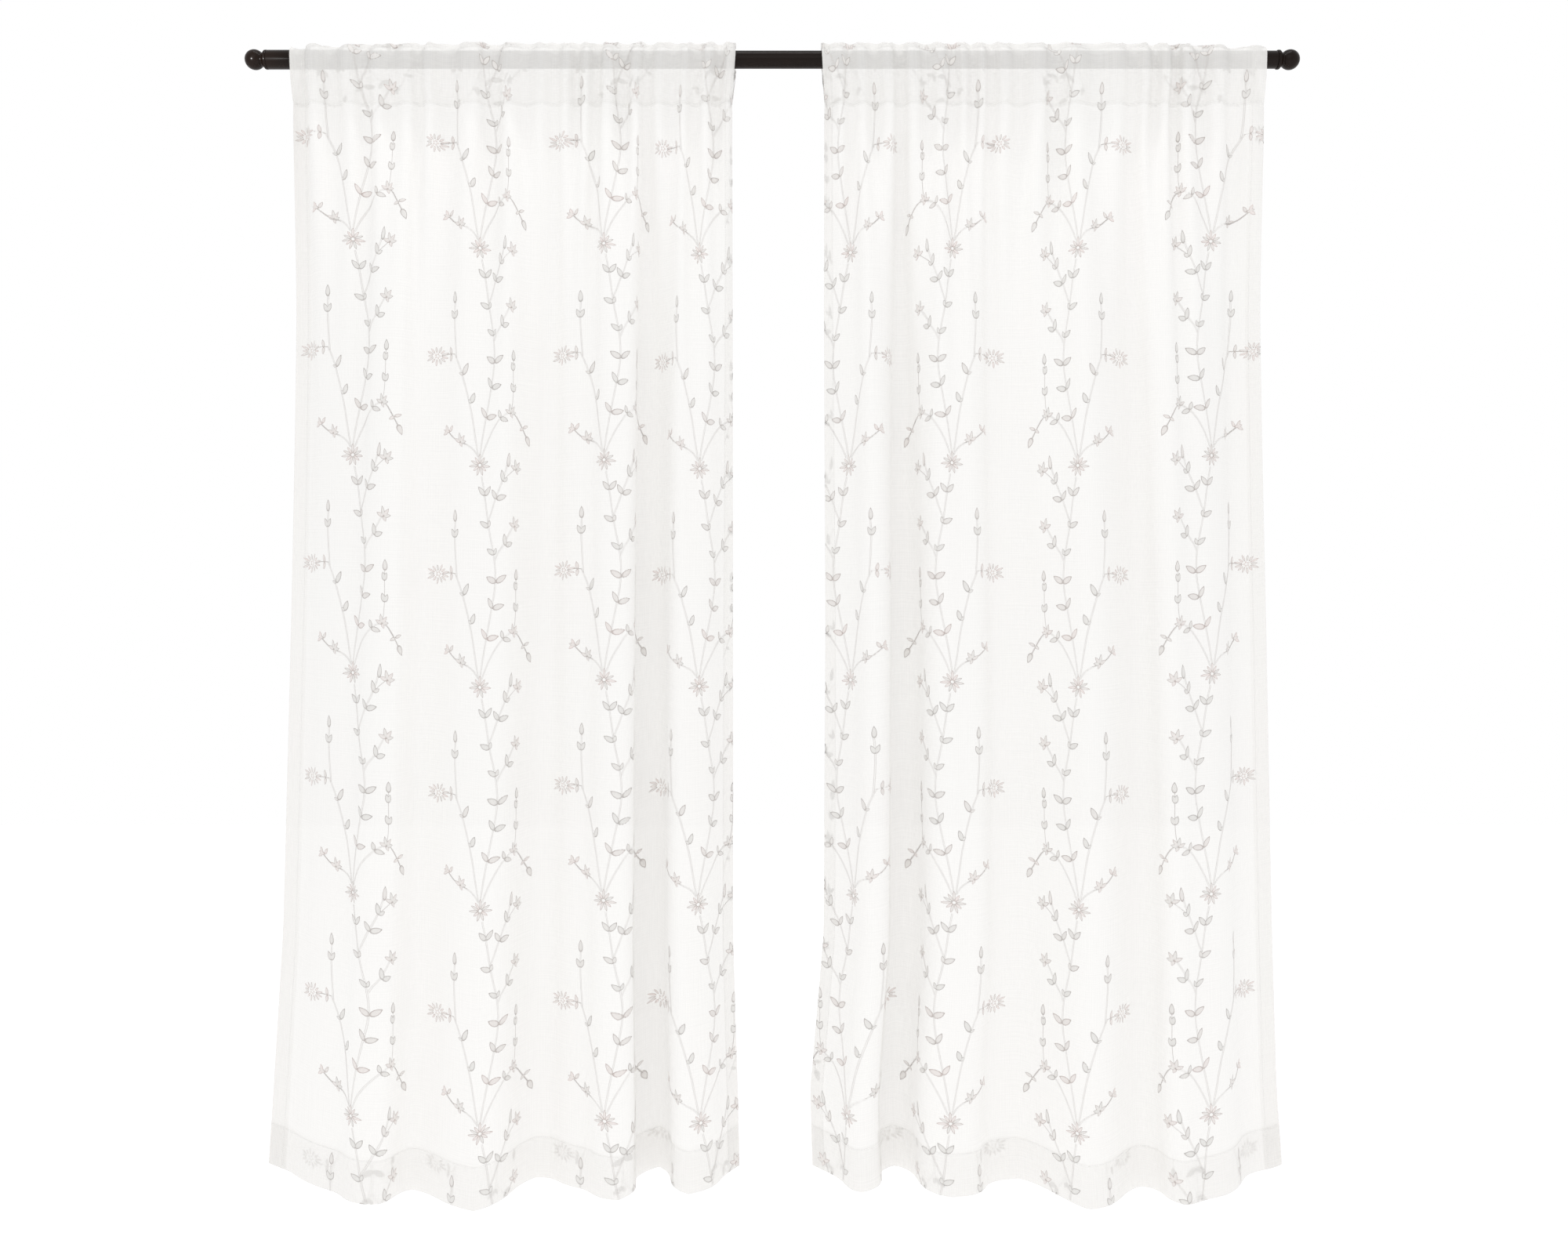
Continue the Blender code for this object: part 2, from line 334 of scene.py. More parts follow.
def makeTube(name, radius, start, end, finish):
    pickNone()
    bpy.ops.mesh.primitive_cylinder_add(
        vertices=rod["sides"], radius=radius, depth=end - start, end_fill_type="NOTHING",
        location=((start + end) / 2, 0, 0), rotation=(0, math.pi / 2, 0))
    tube = bpy.context.object
    wall = tube.modifiers.new("wall", "SOLIDIFY")
    wall.thickness = rod["wall"]
    wall.offset = -1
    bpy.ops.object.modifier_apply(modifier=wall.name)
    rim = tube.modifiers.new("rim", "BEVEL")
    rim.width = rod["rim"]
    rim.segments = 3
    rim.limit_method = "ANGLE"
    bpy.ops.object.modifier_apply(modifier=rim.name)
    bpy.ops.object.shade_smooth_by_angle(angle=math.radians(rod["smoothDegrees"]))
    settle(tube, name, finish)
    return tube


# rings of the finial below its ball: radius, height from the tube's end;
# those below spigotTop go into the tube and keep to its bore
finial = {
    "ballRadius": 0.0180,
    "ballCentre": 0.0240,
    "neckDegrees": 45,
    "spigotTop": 0.00025,
    "smoothDegrees": 40,
    "rings": (
        (0.0127, 0.0100), (0.0133, 0.0085), (0.0145, 0.0071), (0.0160, 0.0060), (0.0167, 0.0053),
        (0.0171, 0.0044), (0.0172, 0.0034), (0.0172, 0.0012), (0.0168, 0.0004), (0.0157, 0.0003),
        (0.0146, 0.0002), (0.0146, -0.0190), (0.0140, -0.0200),
    ),
}


def makeFinial(name, side, spigot, finish):
    pickNone()
    bpy.ops.mesh.primitive_uv_sphere_add(
        segments=48, ring_count=32, radius=finial["ballRadius"], location=(0, 0, 0))
    ball = bpy.context.object
    cutHeight = -finial["ballRadius"] * math.cos(math.radians(finial["neckDegrees"]))
    pick(ball.data, ball.data.vertices, lambda vertex: vertex.co.z < cutHeight - 0.0002)
    bpy.ops.object.mode_set(mode="EDIT")
    bpy.ops.mesh.select_mode(type="VERT")
    bpy.ops.mesh.delete(type="VERT")
    bpy.ops.mesh.select_all(action="DESELECT")
    bpy.ops.mesh.select_non_manifold()
    height = cutHeight + finial["ballCentre"]
    radius = finial["ballRadius"] * math.sin(math.radians(finial["neckDegrees"]))
    for ringRadius, ringHeight in finial["rings"]:
        if ringHeight < finial["spigotTop"]:
            ringRadius = min(ringRadius, spigot)
        bpy.ops.mesh.extrude_region_move(TRANSFORM_OT_translate={"value": (0, 0, ringHeight - height)})
        grow = ringRadius / radius
        bpy.ops.transform.resize(value=(grow, grow, 1), center_override=(0, 0, 0))
        height, radius = ringHeight, ringRadius
    bpy.ops.mesh.edge_face_add()
    bpy.ops.mesh.select_all(action="SELECT")
    bpy.ops.mesh.normals_make_consistent(inside=False)
    bpy.ops.transform.translate(value=(0, 0, finial["ballCentre"]))
    bpy.ops.object.mode_set(mode="OBJECT")
    bpy.ops.object.shade_smooth_by_angle(angle=math.radians(finial["smoothDegrees"]))
    ball.rotation_euler = (0, side * math.pi / 2, 0)
    ball.location = (side * rod["half"], 0, 0)
    settle(ball, name, finish)
    return ball


# how the cloth is gathered; angles in radians, lengths in metres
gathers = {
    "cutWidth": 1.270,
    "ruffles": 16,
    "columnsPerRuffle": 16,
    "wander": 0.55,
    "wanderTurns": 2.3,
    "unevenness": 0.25,
    "unevenTurns": 3.1,
    "ruffleSwing": 0.95,
    "ruffleDepth": 0.0095,
    "ruffleHold": 0.10,
    "ruffleFade": 0.28,
    "ruffleLeft": 0.05,
    "pleatAtRod": 0.15,
    "pleatSwing": 0.70,
    "pleatLeft": 0.25,
    "pleatFade": 0.60,
    "foldFade": 0.45,
    "backShift": 0.045,
}

cloth = {
    "bottomZ": -2.030,
    "seamZ": -0.082,
    "hemDepth": 0.080,
    "hemTurn": 0.078,
    "cornerLift": 0.011,
    "cornerReach": 0.020,
    "headerTop": 0.031,
    "headerScallop": -0.0022,
    "headerCrimp": 0.0009,
    "headerCorner": 0.014,
    "stitchRise": 0.0030,
    "rodGap": 0.0012,
    "layerGap": 0.0024,
    "sideHemGap": 0.0005,
    "sideHemColumns": 6,
    "foldWidth": 0.0004,
    "lowerRows": 54,
    "upperRows": 30,
    "upperFrom": -0.42,
    "pocketEase": 0.03,
    "pocketFront": (0.18, 0.36, 0.54, 0.70, 0.85),
    "pocketBulge": 0.16,
    "pocketDegrees": (0, 12, 24, 36, 48, 60),
    "frillSteps": (0.0, 0.25, 0.5, 0.75, 0.94),
    "cornerSpread": 0.08,
    "hemSteps": (1.0, 0.8, 0.6, 0.4, 0.2, 0.05),
    "hemDegrees": (40, 90, 140),
}

# how much thinner the cloth looks as the back layer of two; over the rod it looks thicker instead,
# and takes the rod's tint
layered = {
    "hem": 1.3,
    "pocket": -0.28,
    "heading": 1.25,
    "sideHem": 1.0,
    "sideFold": 1.5,
}

# rows of the mesh before the bottom fold, and from the heading's seam up to the stitches above the rod
hemRows = 8
pocketRows = 12
stitchLine = 0.1264  # those stitches' place along the cloth from the heading's seam

threadLift = 0.0001  # of a thread's edges above the cloth

# "edges" rows: height, left edge, right edge. "hem" rows: x, distance forward, drop.
# "vines" are where the vines' stems hang, as seen at the rod's distance.
panels = {
    "Left": {
        "edges": (
            (0.020, -0.871, -0.056), (-0.016, -0.871, -0.074), (-0.100, -0.874, -0.073),
            (-0.460, -0.876, -0.073), (-1.035, -0.891, -0.073), (-1.600, -0.907, -0.073),
            (-1.890, -0.925, -0.064), (-2.030, -0.934, -0.061),
        ),
        "hem": (
            (-0.934, 0.000, 0.000), (-0.697, 0.120, 0.017), (-0.650, 0.060, 0.013),
            (-0.529, 0.130, 0.029), (-0.435, 0.030, 0.006), (-0.272, 0.115, 0.011),
            (-0.209, 0.010, -0.010), (-0.149, 0.095, 0.008), (-0.061, 0.000, 0.004),
        ),
        "vines": (-0.765, -0.533, -0.307, -0.133),
        "vineLift": (0.013, -0.003, 0.001, -0.014),
        "outerSide": -1,
        "mirror": 1,
        "lag": 0.15,
    },
    "Right": {
        "edges": (
            (0.020, 0.080, 0.893), (-0.016, 0.098, 0.894), (-0.100, 0.095, 0.897),
            (-0.460, 0.095, 0.898), (-1.035, 0.098, 0.914), (-1.600, 0.095, 0.926),
            (-1.890, 0.070, 0.935), (-2.030, 0.074, 0.945),
        ),
        "hem": (
            (0.074, 0.000, 0.003), (0.160, 0.095, 0.004), (0.226, 0.010, -0.009),
            (0.322, 0.115, 0.008), (0.450, 0.035, 0.002), (0.558, 0.130, 0.021),
            (0.668, 0.060, 0.009), (0.738, 0.120, 0.018), (0.945, 0.000, 0.002),
        ),
        "vines": (0.143, 0.329, 0.558, 0.801),
        "vineLift": (-0.005, -0.004, -0.006, 0.013),
        "outerSide": 1,
        "mirror": -1,
        "lag": 0.62,
    },
}


def halfFold(width, depth):
    # the swing that carries the cloth across a width and a depth, and the cloth it takes
    angles = math.pi * (np.arange(24) + 0.5) / 24
    low, high = 0.0, 2.2
    for _ in range(40):
        swing = (low + high) / 2
        across = np.cos(swing * np.sin(angles)).mean()
        deep = np.sin(swing * np.sin(angles)).mean()
        if deep / across < depth / width:
            low = swing
        else:
            high = swing
    return width / across, swing


def foldPlan(hem):
    halves = []
    for (x0, forward0, _), (x1, forward1, _) in zip(hem, hem[1:]):
        length, swing = halfFold(x1 - x0, abs(forward1 - forward0))
        halves.append((length, swing if forward1 < forward0 else -swing))
    ends = np.cumsum([length for length, _ in halves])
    ends = ends / ends[-1]
    starts = np.concatenate([[0.0], ends[:-1]])
    return [(start, end, swing) for start, end, (_, swing) in zip(starts, ends, halves)]


def columnShares(phase, lag):
    # where each point of the gathers lies across the cloth; the gathers are uneven
    share = phase / gathers["ruffles"]
    wander = gathers["wander"] * np.sin(2 * np.pi * (gathers["wanderTurns"] * share + lag))
    return share + wander * np.sin(np.pi * share) / gathers["ruffles"]


def planRow(z, panel, plan):
    # x, y, direction and gather wave of every column at one height
    lag = panel["lag"]
    steps = gathers["ruffles"] * gathers["columnsPerRuffle"] * 2
    phase = np.linspace(0, gathers["ruffles"], steps + 1)
    share = columnShares(phase, lag)
    drop = max(0.0, cloth["seamZ"] - z)
    growth = 1 - math.exp(-drop / gathers["foldFade"])
    angle = np.zeros(steps + 1)
    for start, end, swing in plan:
        inside = (share >= start) & (share <= end)
        angle[inside] = swing * growth * np.sin(np.pi * (share[inside] - start) / (end - start))
    strength = 1 + gathers["unevenness"] * np.sin(2 * np.pi * (gathers["unevenTurns"] * share + lag))
    settled = math.exp(-drop / gathers["ruffleFade"])
    ruffle = gathers["ruffleLeft"] + (gathers["ruffleSwing"] - gathers["ruffleLeft"]) * settled
    pleatRange = gathers["pleatSwing"] - gathers["pleatLeft"]
    pleat = gathers["pleatLeft"] + pleatRange * math.exp(-drop / gathers["pleatFade"])
    pleat = gathers["pleatAtRod"] + (pleat - gathers["pleatAtRod"]) * (1 - settled)
    angle += strength * ruffle * np.cos(2 * np.pi * phase)
    angle += pleat * np.cos(np.pi * phase + 2 * np.pi * lag)
    wave = gathers["ruffleDepth"] * strength * np.sin(2 * np.pi * phase)
    lengths = np.diff(share) * gathers["cutWidth"]
    middle = (angle[1:] + angle[:-1]) / 2
    across = np.concatenate([[0.0], np.cumsum(lengths * np.cos(middle))])
    deep = np.concatenate([[0.0], np.cumsum(lengths * np.sin(middle))])
    # threads hang plumb, so every fold keeps the share of the width that it has at the hem
    hemX = np.array([turn[0] for turn in panel["hem"]])
    knots = [0.0] + [float(np.interp(end, share, across)) for _, end, _ in plan]
    reach = np.interp(across, knots, (hemX - hemX[0]) / (hemX[-1] - hemX[0]))
    edges = np.array(sorted(panel["edges"]))
    left = np.interp(z, edges[:, 0], edges[:, 1])
    right = np.interp(z, edges[:, 0], edges[:, 2])
    x = left + (right - left) * reach
    level = deep - deep[-1] * across / across[-1] + gathers["backShift"] * growth
    hold = math.exp(-drop / gathers["ruffleHold"])
    y = level + (wave - level) * hold
    return x[::2], y[::2], angle[::2], wave[::2]


def clothRadius(x):
    # the pocket eases from the wider tube to the narrower one
    ease = np.clip((x - rod["wideEnd"]) / cloth["pocketEase"], 0, 1)
    radius = rod["wideRadius"] + (rod["narrowRadius"] - rod["wideRadius"]) * ease
    return radius + cloth["rodGap"]


def hangCloth(panel):
    # the cloth's own path, row by row: turned-up hem, face, over the rod, down its back
    plan = foldPlan(panel["hem"])
    rodX, wave, lean, _ = planRow(0.0, panel, plan)
    sway = np.abs(wave).max()
    bottomX = planRow(cloth["bottomZ"], panel, plan)[0]
    hem = np.array(panel["hem"])
    fromEdge = np.minimum(bottomX - hem[0, 0], hem[-1, 0] - bottomX)
    lift = cloth["cornerLift"] * (1 - np.exp(-np.maximum(fromEdge, 0) / cloth["cornerReach"]))
    bottom = cloth["bottomZ"] - np.interp(bottomX, hem[:, 0], hem[:, 2]) - lift
    gap = cloth["layerGap"]
    rows = []

    def lay(x, y, angle, z, offset=0.0):
        heights = np.zeros(len(x)) + z
        rows.append(np.stack([x - offset * np.sin(angle), y + offset * np.cos(angle), heights], 1))

    for share in cloth["hemSteps"]:
        x, y, angle, _ = planRow(cloth["bottomZ"] + cloth["hemDepth"] * share, panel, plan)
        lay(x, y, angle, bottom + cloth["hemTurn"] * share, gap)
    x, y, angle, _ = planRow(cloth["bottomZ"], panel, plan)
    for degrees in cloth["hemDegrees"]:
        bend = math.radians(degrees)
        lay(x, y, angle, bottom + gap / 2 * (1 - math.sin(bend)), gap * (1 + math.cos(bend)) / 2)
    tall = cloth["seamZ"] - cloth["bottomZ"]
    upper = (cloth["upperFrom"] - cloth["bottomZ"]) / tall
    shares = np.concatenate([
        np.linspace(0.001, upper, cloth["lowerRows"], endpoint=False),
        np.linspace(upper, 1.0, cloth["upperRows"])])
    for share in shares:
        x, y, angle, _ = planRow(cloth["bottomZ"] + tall * share, panel, plan)
        lay(x, y, angle, bottom + (cloth["seamZ"] - bottom) * share)
    seamRow = len(rows) - 1
    seamX, seamY, seamAngle, _ = planRow(cloth["seamZ"], panel, plan)
    radius = clothRadius(rodX)
    frontReach = radius + sway - wave
    backReach = radius + sway + wave
    rises = cloth["pocketFront"]
    for rise in rises:
        ease = rise + cloth["pocketBulge"] * math.sin(math.pi * rise)
        lay(seamX + (rodX - seamX) * rise, seamY - (frontReach + seamY) * ease,
            lean, cloth["seamZ"] * (1 - rise))
    for degrees in cloth["pocketDegrees"]:
        turn = math.radians(degrees)
        reach = radius + (sway - wave) * math.cos(turn) ** 2
        lay(rodX, -reach * math.cos(turn), lean, reach * math.sin(turn))
    stitchZ = radius + cloth["stitchRise"]
    edgeX = panel["edges"][0][2 if panel["outerSide"] > 0 else 1]
    corner = cloth["headerCorner"] * np.exp(-np.abs(edgeX - rodX) / cloth["cornerSpread"])
    phase = np.linspace(0, gathers["ruffles"], len(rodX))
    crimp = np.sin(6.9 * phase + 1.4 * np.sin(1.7 * phase))
    crimp = crimp + np.sin(12.7 * phase + np.sin(2.3 * phase))
    topZ = cloth["headerTop"] - corner - cloth["headerScallop"] * wave / sway
    topZ = topZ + cloth["headerCrimp"] * crimp
    steps = cloth["frillSteps"]
    for step in steps:
        lay(rodX, wave * (0.7 + 0.2 * step), lean, stitchZ + (topZ - stitchZ) * step)
    lay(rodX, wave * 0.9, lean, topZ, gap * 0.5)
    for step in reversed(steps):
        lay(rodX, wave * (0.7 + 0.2 * step), lean, stitchZ + (topZ - stitchZ) * step, gap)
    for degrees in reversed(cloth["pocketDegrees"]):
        turn = math.radians(degrees)
        reach = radius + (sway + wave) * math.cos(turn) ** 2
        lay(rodX - gap * np.sin(lean), reach * math.cos(turn), 0 * lean, reach * math.sin(turn))
    for rise in reversed((0.0,) + rises):
        ease = rise + cloth["pocketBulge"] * math.sin(math.pi * rise)
        lay(seamX + (rodX - seamX) * rise, seamY + gap + (backReach - seamY - gap) * ease,
            lean, cloth["seamZ"] * (1 - rise))
    under = np.zeros(len(rows))
    under[:hemRows] = layered["hem"]
    front = seamRow + len(rises)
    top = front + len(cloth["pocketDegrees"])
    under[front:top] = layered["pocket"]
    under[top + len(steps) + 1:] = layered["heading"]
    return np.array(rows), seamRow, under


def rightSide(points):
    across = np.gradient(points, axis=1)
    along = np.gradient(points, axis=0)
    normal = np.cross(across, along)
    return normal / np.maximum(np.linalg.norm(normal, axis=2, keepdims=True), 1e-9)


def turnSides(points, across):
    # the side hems are folded to the cloth's wrong side
    count = cloth["sideHemColumns"]
    wrong = points - rightSide(points) * cloth["sideHemGap"]
    wide, near = across[-1], cloth["foldWidth"]
    first, last = near / across[1], near / (wide - across[-2])

    # a narrow column beside each fold keeps its turned normals off the face
    def beside(layer, edge, inner, share):
        return (layer[:, edge] * (1 - share) + layer[:, inner] * share)[:, None]

    full = np.concatenate([
        wrong[:, count:0:-1], beside(wrong, 0, 1, first),
        points[:, :1], beside(points, 0, 1, first), points[:, 1:-1],
        beside(points, -1, -2, last), points[:, -1:],
        beside(wrong, -1, -2, last), wrong[:, -2:-2 - count:-1]], axis=1)
    cuts = np.concatenate([
        -across[count:0:-1], [-near, 0, near], across[1:-1], [wide - near, wide, wide + near],
        2 * wide - across[-2:-2 - count:-1]])
    hem = np.full(count + 1, layered["sideHem"])
    turned = np.concatenate([hem, np.zeros(len(across) + 2), hem])
    turned[[count + 1, -count - 2]] = layered["sideFold"]  # the fold itself is seen edge on
    return full, cuts, turned


def makeSheet(name, points, across, along, under, finish):
    rowCount, columnCount = points.shape[:2]
    pickNone()
    bpy.ops.mesh.primitive_grid_add(
        x_subdivisions=columnCount - 1, y_subdivisions=rowCount - 1, size=1, calc_uvs=False)
    sheet = bpy.context.object
    mesh = sheet.data
    flat = np.zeros(len(mesh.vertices) * 3)
    mesh.vertices.foreach_get("co", flat)
    flat = flat.reshape(-1, 3)
    column = np.rint((flat[:, 0] + 0.5) * (columnCount - 1)).astype(int)
    row = np.rint((flat[:, 1] + 0.5) * (rowCount - 1)).astype(int)
    mesh.vertices.foreach_set("co", points[row, column].ravel())
    corners = np.zeros(len(mesh.loops), dtype=np.int32)
    mesh.loops.foreach_get("vertex_index", corners)
    cutPlace = np.stack([across[column], -along[row]], 1)
    layer = mesh.uv_layers.new(name="cut")
    layer.data.foreach_set("uv", cutPlace[corners].ravel())
    attribute = mesh.attributes.new("under", "FLOAT", "POINT")
    attribute.data.foreach_set("value", under[row, column])
    mesh.shade_smooth()
    mesh.update()
    settle(sheet, name, finish)
    return sheet


class Surface:
    # a hung cloth, and where a place on the flat cut has come to lie on it
    def __init__(self, points, across, along):
        self.points = points
        self.normals = rightSide(points)
        self.across = across
        self.along = along

    def lay(self, across, along, height):
        column = np.interp(across, self.across, np.arange(len(self.across)))
        row = np.interp(along, self.along[::-1], np.arange(len(self.along))[::-1])
        c0 = np.minimum(column.astype(int), len(self.across) - 2)
        r0 = np.minimum(row.astype(int), len(self.along) - 2)
        c = (column - c0)[..., None]
        r = (row - r0)[..., None]

        def between(grid):
            low = grid[r0, c0] * (1 - c) + grid[r0, c0 + 1] * c
            high = grid[r0 + 1, c0] * (1 - c) + grid[r0 + 1, c0 + 1] * c
            return low * (1 - r) + high * r

        return between(self.points) + between(self.normals) * height[..., None]


satin = {
    "sides": 12,
    "slope": 0.16,
    "shoulder": 0.65,
}


def stitchedShape():
    # one raised shape of satin stitch, drawn flat along X and copied for every leaf and petal
    pickNone()
    bpy.ops.mesh.primitive_circle_add(
        vertices=satin["sides"], radius=0.5, fill_type="NGON", location=(0, 0, 0))
    shape = bpy.context.object
    bpy.ops.object.mode_set(mode="EDIT")
    bpy.ops.mesh.select_all(action="SELECT")
    bpy.ops.mesh.inset(thickness=satin["slope"])
    bpy.ops.transform.translate(value=(0, 0, satin["shoulder"]))
    bpy.ops.mesh.poke(offset=1 - satin["shoulder"])
    bpy.ops.mesh.select_all(action="SELECT")
    bpy.ops.mesh.normals_make_consistent(inside=False)
    bpy.ops.object.mode_set(mode="OBJECT")
    corners = np.array([tuple(vertex.co) for vertex in shape.data.vertices])
    faces = [tuple(face.vertices) for face in shape.data.polygons]
    bpy.data.objects.remove(shape, do_unlink=True)
    corners[:, 0] += 0.5
    return corners, faces


def dashShape():
    # one stitch: a low rounded dash
    pickNone()
    bpy.ops.mesh.primitive_cube_add(size=1, location=(0, 0, 0.5))
    dash = bpy.context.object
    pick(dash.data, dash.data.polygons, lambda face: face.normal.z > 0.5)
    bpy.ops.object.mode_set(mode="EDIT")
    bpy.ops.mesh.select_mode(type="FACE")
    bpy.ops.transform.resize(value=(0.8, 0.5, 1))
    bpy.ops.object.mode_set(mode="OBJECT")
    corners = np.array([tuple(dash.matrix_world @ vertex.co) for vertex in dash.data.vertices])
    faces = [tuple(face.vertices) for face in dash.data.polygons if face.normal.z > -0.5]
    bpy.data.objects.remove(dash, do_unlink=True)
    return corners, faces


def joinedPiece(name, points, faces, lay, tones, rims, finish):
    mesh = bpy.data.meshes.new(name)
    mesh.from_pydata(points.tolist(), [], faces)
    corners = np.zeros(len(mesh.loops), dtype=np.int32)
    mesh.loops.foreach_get("vertex_index", corners)
    layer = mesh.uv_layers.new(name="cut")
    layer.data.foreach_set("uv", lay[corners].ravel())
    for label, values in (("tone", tones), ("rim", rims)):
        attribute = mesh.attributes.new(label, "FLOAT", "POINT")
        attribute.data.foreach_set("value", values)
    mesh.shade_smooth()
    piece = bpy.data.objects.new(name, mesh)
    bpy.context.scene.collection.objects.link(piece)
    settle(piece, name, finish)
    return piece


# one repeat of the vine in millimetres from its star flower, up the cloth
# stems: width, doubled, then points
# pairs: foot x, foot y, then direction in degrees, length and width of both leaves, tone
# leaves: foot x, foot y, direction, length, width, tone
# tufts: foot x, foot y, reach; tuftLeaves: direction, then length and width as shares of the reach
# sprigFlower: middle x and y, reach across and up; beads: the knots at its centre
# point: how bluntly a leaf ends; dark: how far a stem goes to its line colour
vine = {
    "repeat": 392,
    "starHeight": -0.3465,
    "repeatsUp": 1,
    "repeatsDown": 6,
    "stems": (
        (0.5, True, ((0, 16), (4, 45), (10, 80), (20, 134), (28, 180), (26, 228), (16, 278), (9, 338),
                     (3, 372))),
        (0.5, True, ((-3, 14), (-10, 27), (-22, 36), (-36, 40), (-46, 47), (-56, 58))),
        (0.5, True, ((3, 14), (10, 34), (20, 55), (33, 76), (44, 87), (54, 92), (64, 88), (75, 68),
                     (86, 46))),
        (0.5, True, ((-3, 16), (-8, 48), (-13, 85), (-19, 115), (-25, 140), (-33, 170), (-44, 198))),
        (0.5, True, ((-41, 192), (-44, 235), (-45, 268), (-43, 300))),
        (1.1, False, ((-44, 198), (-54, 199), (-62, 198), (-70, 196))),
        (0.7, False, ((-22, 36), (-36, 40), (-46, 47), (-56, 58))),
        (0.7, False, ((50, 91), (57, 92), (64, 88), (75, 68), (86, 46))),
        (0.5, False, ((56, 92), (59, 105), (61, 134), (61, 172), (62, 196))),
        (0.5, True, ((27, 222), (31, 234), (40, 246), (48, 264), (58, 282))),
        (0.5, True, ((14, 290), (20, 304), (28, 330), (40, 360), (47, 382), (50, 396))),
        (0.7, False, ((41, 362), (54, 376), (64, 384))),
    ),
    "pairs": (
        (12, 84, 118, 22, 8, 8, 22, 11, 0.5), (22, 137, 112, 22, 8, 12, 22, 11, 0.1),
        (28, 182, 145, 22, 11, 32, 23, 11, 0.25), (26, 232, 140, 19, 9, 75, 12, 6, 0.0),
        (16, 282, 150, 20, 10, 80, 12, 6, 0.0), (9, 338, 128, 20, 9, 55, 20, 9, 0.0),
        (-15, 110, 72, 20, 9, 130, 9, 5, 0.0), (-29, 160, 66, 24, 9, 150, 9, 5, 0.0),
        (-51, 198, 100, 14, 6, 262, 13, 6, 0.5), (-45, 262, 112, 17, 8, 66, 17, 8, 0.0),
        (-54, 59, 60, 13, 6, 165, 14, 6, 0.6), (-58, 60, 110, 12, 6, 215, 12, 6, 0.8),
        (61, 128, 105, 17, 8, 72, 15, 7, 0.0),
        (61, 166, 100, 16, 7, 78, 15, 6, 0.0), (44, 246, 96, 22, 8, 20, 15, 10, 0.0),
        (30, 330, 115, 20, 8, 15, 20, 11, 0.0), (42, 360, 98, 22, 8, 40, 11, 7, 0.0),
        (38, 82, 100, 15, 7, -20, 17, 9, 0.1), (78, 66, 20, 13, 6, 215, 10, 6, 0.4),
    ),
    "leaves": (
        (84, 52, 292, 20, 10, 0.2), (-44, 290, 90, 22, 8, 0.1), (62, 184, 90, 20, 8, 0.1),
        (50, 386, 84, 26, 7, 0.1),
    ),
    "tufts": (
        (-34, 40, 13), (56, 90, 13), (60, 280, 14), (64, 382, 14),
    ),
    "tuftLeaves": ((58, 1.15, 0.45), (98, 1.35, 0.42), (150, 1.0, 0.5), (8, 0.85, 0.5), (-70, 0.7, 0.4)),
    "starPetals": 11,
    "starRadius": 19,
    "starFoot": 0.12,
    "starWidth": 0.25,
    "sprigFlower": (-77, 196, 21, 17),
    "sprigPetals": 13,
    "sprigFoot": 0.36,
    "sprigWidth": 4.0,
    "beads": 5,
    "beadRing": 2,
    "beadSize": (4, 3),
    "leafFullness": 0.15,
    "leafWidening": 1.3,
    "point": 0.4,
    "toneSpread": 0.16,
    "height": 0.00045,
    "stemHeight": 0.9,
    "stemStep": 7,
    "stemShift": 0.85,
    "stemTone": 0.2,
    "doubledDark": 0.24,
    "singleDark": 0.66,
    "singleWidening": 1.15,
    "sideMargin": 0.001,
    "endMargin": 0.002,
}


def vineShapes():
    # foot x, foot y, direction, length, width, fullness towards the tip, tone; millimetres
    shapes = []
    for x, y, turn0, long0, wide0, turn1, long1, wide1, tone in vine["pairs"]:
        shapes.append((x, y, turn0, long0, wide0, vine["leafFullness"], tone))
        shapes.append((x, y, turn1, long1, wide1, vine["leafFullness"], tone))
    for x, y, direction, length, width, tone in vine["leaves"]:
        shapes.append((x, y, direction, length, width, 0.0, tone))
    star = vine["starRadius"]
    foot = star * vine["starFoot"]
    for petal in range(vine["starPetals"]):
        turn = 360 / vine["starPetals"] * petal + 90
        long = star * (0.84 + 0.14 * math.cos(petal * 2.3))
        shapes.append((foot * math.cos(math.radians(turn)), foot * math.sin(math.radians(turn)), turn,
                       long, star * vine["starWidth"], 0.45, 0.55 + 0.35 * math.sin(petal * 1.9)))
    centreX, centreY, reachX, reachY = vine["sprigFlower"]
    foot = vine["sprigFoot"]
    for petal in range(vine["sprigPetals"]):
        turn = 2 * math.pi * (petal + 0.5) / vine["sprigPetals"]
        tipX, tipY = reachX * math.cos(turn), reachY * math.sin(turn)
        long = math.hypot(tipX, tipY) * (0.64 + 0.14 * math.cos(petal * 2.7))
        shapes.append((centreX + tipX * foot, centreY + tipY * foot,
                       math.degrees(math.atan2(tipY, tipX)), long, vine["sprigWidth"], 0.3,
                       0.65 + 0.3 * math.sin(petal * 1.7)))
    ring = vine["beadRing"]
    for bead in range(vine["beads"]):
        turn = 360 / vine["beads"] * bead
        shapes.append((centreX + ring * math.cos(math.radians(turn)),
                       centreY + ring * math.sin(math.radians(turn)), turn, *vine["beadSize"], 0.0, 1.0))
    for x, y, reach in vine["tufts"]:
        for number, (turn, long, wide) in enumerate(vine["tuftLeaves"]):
            shapes.append((x, y, turn, reach * long, reach * wide, 0.0, 0.50 - 0.3 * (number % 2)))
    return shapes


